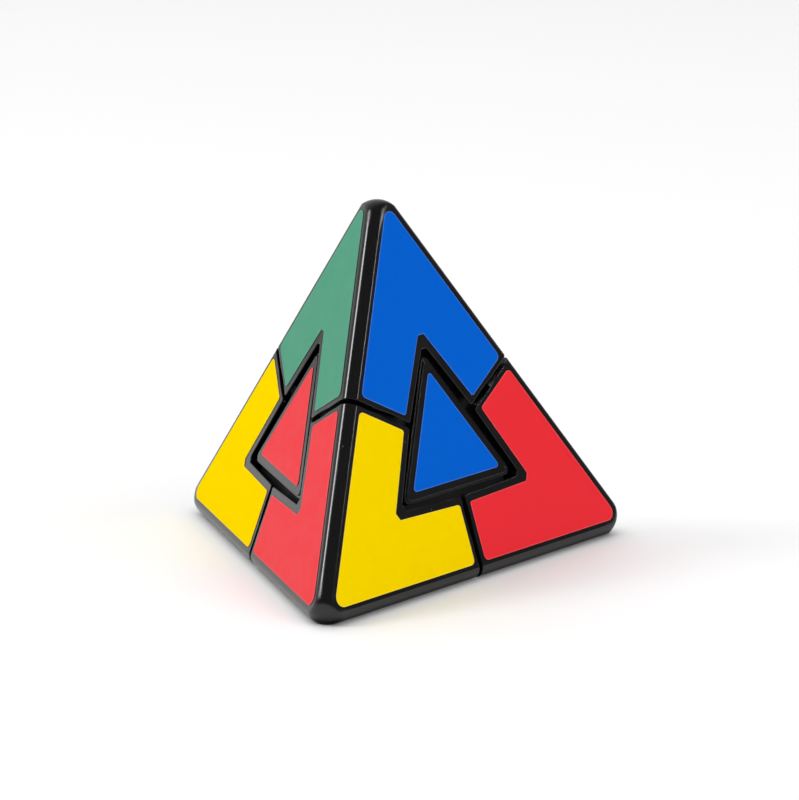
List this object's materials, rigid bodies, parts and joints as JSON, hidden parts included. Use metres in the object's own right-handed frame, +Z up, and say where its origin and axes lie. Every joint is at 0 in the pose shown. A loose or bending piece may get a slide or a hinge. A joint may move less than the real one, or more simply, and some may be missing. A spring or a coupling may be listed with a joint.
{
  "type": "pyramid twisty puzzle",
  "caption": "Hand-held pyramid twisty puzzle whose corner layers turn about a sprung centre, with sunken face triangles and coloured stickers.",
  "frame": {"origin": "centre of the pyramid, where the four turning axes meet", "axes": "+Z up through the top corner, -Y towards the front corner, +X to the right, so the right and left corners lie at +X and -X"},
  "size_m": [0.0938, 0.0821, 0.0774],
  "materials": {
    "black_plastic": "gloss black moulded ABS",
    "inner_plastic": "plain black moulded ABS",
    "core_nylon": "natural nylon",
    "steel": "zinc plated steel",
    "sticker_green": "fine grained satin vinyl",
    "sticker_blue": "fine grained satin vinyl",
    "sticker_yellow": "fine grained satin vinyl",
    "sticker_red": "fine grained satin vinyl"
  },
  "bodies": {
    "centre": {"core": "core_nylon", "screw_top": "steel", "screw_front": "steel", "screw_right": "steel", "screw_left": "steel", "washer_top": "steel", "washer_front": "steel", "washer_right": "steel", "washer_left": "steel", "spring_top": "steel", "spring_front": "steel", "spring_right": "steel", "spring_left": "steel"},
    "corner_top": {"hub_top_corner": "inner_plastic", "shell_top": "black_plastic", "sticker_top_a": "sticker_red", "sticker_top_b": "sticker_green", "sticker_top_c": "sticker_blue"},
    "corner_front": {"hub_front_corner": "inner_plastic", "shell_front": "black_plastic", "sticker_front_a": "sticker_red", "sticker_front_b": "sticker_blue", "sticker_front_c": "sticker_yellow"},
    "corner_right": {"hub_right_corner": "inner_plastic", "shell_right": "black_plastic", "sticker_right_a": "sticker_red", "sticker_right_b": "sticker_yellow", "sticker_right_c": "sticker_green"},
    "corner_left": {"hub_left_corner": "inner_plastic", "shell_left": "black_plastic", "sticker_left_a": "sticker_blue", "sticker_left_b": "sticker_green", "sticker_left_c": "sticker_yellow"},
    "slide_top_front": {"slider_top_front": "inner_plastic"},
    "slide_top_right": {"slider_top_right": "inner_plastic"},
    "slide_top_left": {"slider_top_left": "inner_plastic"},
    "slide_front_right": {"slider_front_right": "inner_plastic"},
    "slide_left_front": {"slider_left_front": "inner_plastic"},
    "slide_right_left": {"slider_right_left": "inner_plastic"},
    "face_bottom": {"foot_bottom": "inner_plastic", "cap_bottom": "black_plastic", "sticker_cap_bottom": "sticker_green"},
    "face_back": {"foot_back": "inner_plastic", "cap_back": "black_plastic", "sticker_cap_back": "sticker_yellow"},
    "left_face": {"foot_left_face": "inner_plastic", "cap_left_face": "black_plastic", "sticker_cap_left": "sticker_red"},
    "right_face": {"foot_right_face": "inner_plastic", "cap_right_face": "black_plastic", "sticker_cap_right": "sticker_blue"}
  },
  "joints": [
    {"name": "turn_top", "type": "hinge", "parent": "centre", "child": "corner_top", "pos_m": [0, 0, 0], "axis": [0, 0, 1], "range_deg": [-120, 240]},
    {"name": "turn_front", "type": "hinge", "parent": "centre", "child": "corner_front", "pos_m": [0, 0, 0], "axis": [0, -0.9428, -0.3333], "range_deg": [-120, 240]},
    {"name": "turn_right", "type": "hinge", "parent": "centre", "child": "corner_right", "pos_m": [0, 0, 0], "axis": [0.8165, 0.4714, -0.3333], "range_deg": [-120, 240]},
    {"name": "turn_left", "type": "hinge", "parent": "centre", "child": "corner_left", "pos_m": [0, 0, 0], "axis": [-0.8165, 0.4714, -0.3333], "range_deg": [-120, 240]},
    {"name": "slide_top_front_with_front", "type": "hinge", "parent": "corner_top", "child": "slide_top_front", "pos_m": [0, 0, 0], "axis": [0, -0.9428, -0.3333], "range_deg": [-120, 240]},
    {"name": "slide_top_right_with_right", "type": "hinge", "parent": "corner_top", "child": "slide_top_right", "pos_m": [0, 0, 0], "axis": [0.8165, 0.4714, -0.3333], "range_deg": [-120, 240]},
    {"name": "slide_top_left_with_left", "type": "hinge", "parent": "corner_top", "child": "slide_top_left", "pos_m": [0, 0, 0], "axis": [-0.8165, 0.4714, -0.3333], "range_deg": [-120, 240]},
    {"name": "slide_front_right_with_front", "type": "hinge", "parent": "corner_right", "child": "slide_front_right", "pos_m": [0, 0, 0], "axis": [0, -0.9428, -0.3333], "range_deg": [-120, 240]},
    {"name": "slide_left_front_with_left", "type": "hinge", "parent": "corner_front", "child": "slide_left_front", "pos_m": [0, 0, 0], "axis": [-0.8165, 0.4714, -0.3333], "range_deg": [-120, 240]},
    {"name": "slide_right_left_with_right", "type": "hinge", "parent": "corner_left", "child": "slide_right_left", "pos_m": [0, 0, 0], "axis": [0.8165, 0.4714, -0.3333], "range_deg": [-120, 240]},
    {"name": "face_bottom_with_left", "type": "hinge", "parent": "slide_front_right", "child": "face_bottom", "pos_m": [0, 0, 0], "axis": [-0.8165, 0.4714, -0.3333], "range_deg": [-120, 240]},
    {"name": "face_back_with_left", "type": "hinge", "parent": "slide_top_right", "child": "face_back", "pos_m": [0, 0, 0], "axis": [-0.8165, 0.4714, -0.3333], "range_deg": [-120, 240]},
    {"name": "left_face_with_front", "type": "hinge", "parent": "slide_top_left", "child": "left_face", "pos_m": [0, 0, 0], "axis": [0, -0.9428, -0.3333], "range_deg": [-120, 240]},
    {"name": "right_face_with_right", "type": "hinge", "parent": "slide_top_front", "child": "right_face", "pos_m": [0, 0, 0], "axis": [0.8165, 0.4714, -0.3333], "range_deg": [-120, 240]}
  ],
  "couplings": [
    {"joint": "slide_top_front_with_front", "follows": "turn_front", "ratio": 1},
    {"joint": "slide_top_right_with_right", "follows": "turn_right", "ratio": 1},
    {"joint": "slide_top_left_with_left", "follows": "turn_left", "ratio": 1},
    {"joint": "slide_front_right_with_front", "follows": "turn_front", "ratio": 1},
    {"joint": "slide_left_front_with_left", "follows": "turn_left", "ratio": 1},
    {"joint": "slide_right_left_with_right", "follows": "turn_right", "ratio": 1},
    {"joint": "face_bottom_with_left", "follows": "turn_left", "ratio": 1},
    {"joint": "face_back_with_left", "follows": "turn_left", "ratio": 1},
    {"joint": "left_face_with_front", "follows": "turn_front", "ratio": 1},
    {"joint": "right_face_with_right", "follows": "turn_right", "ratio": 1}
  ]
}
